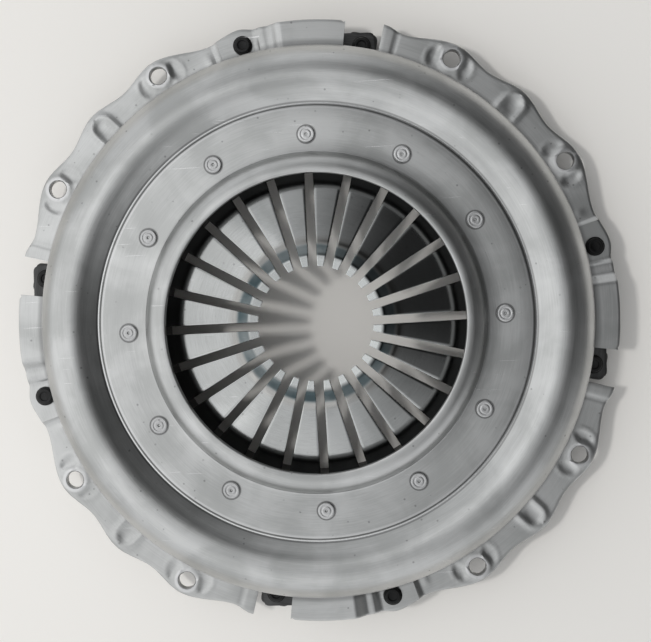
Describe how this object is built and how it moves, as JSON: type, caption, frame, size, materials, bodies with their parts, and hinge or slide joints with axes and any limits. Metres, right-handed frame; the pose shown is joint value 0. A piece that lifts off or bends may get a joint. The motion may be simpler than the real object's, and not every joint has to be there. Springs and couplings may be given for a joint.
{
  "type": "clutch cover assembly",
  "caption": "Push-type diaphragm-spring clutch cover assembly for a heavy vehicle: domed pressed cover, slotted spring, sliding pressure plate and drive straps.",
  "frame": {"origin": "centre of the friction face, on the clutch axis, at the lowest point", "axes": "+Z along the clutch axis towards the gearbox; +X through a pivot rivet"},
  "size_m": [0.4578, 0.4578, 0.09],
  "materials": {
    "cover_steel": "satin pressed steel",
    "plate_iron": "cast, ground friction face",
    "spring_steel": "satin, heat-tinted finger tips",
    "pivot_wire": "drawn wire",
    "rivet_steel": "formed head",
    "black_rivet": "black phosphate",
    "strap_steel": "dark spring strip"
  },
  "bodies": {
    "cover_assembly": {"cover": "cover_steel", "diaphragm_spring": "spring_steel", "upper_pivot_ring": "pivot_wire", "lower_pivot_ring": "pivot_wire", "pivot_rivets": "rivet_steel", "cover_strap_rivets": "black_rivet", "strap_1_leaf_1": "strap_steel", "strap_1_leaf_2": "strap_steel", "strap_1_leaf_3": "strap_steel", "strap_2_leaf_1": "strap_steel", "strap_2_leaf_2": "strap_steel", "strap_2_leaf_3": "strap_steel", "strap_3_leaf_1": "strap_steel", "strap_3_leaf_2": "strap_steel", "strap_3_leaf_3": "strap_steel", "strap_4_leaf_1": "strap_steel", "strap_4_leaf_2": "strap_steel", "strap_4_leaf_3": "strap_steel"},
    "plate_assembly": {"pressure_plate": "plate_iron", "plate_strap_rivets": "black_rivet"}
  },
  "joints": [
    {"name": "plate_slide", "type": "slide", "parent": "cover_assembly", "child": "plate_assembly", "axis": [0, 0, 1], "range_m": [0, 0.007], "stiffness_N_per_m": 300000, "springref_m": -0.002, "deforming": ["diaphragm_spring", "strap_1_leaf_1", "strap_1_leaf_2", "strap_1_leaf_3", "strap_2_leaf_1", "strap_2_leaf_2", "strap_2_leaf_3", "strap_3_leaf_1", "strap_3_leaf_2", "strap_3_leaf_3", "strap_4_leaf_1", "strap_4_leaf_2", "strap_4_leaf_3"]}
  ]
}
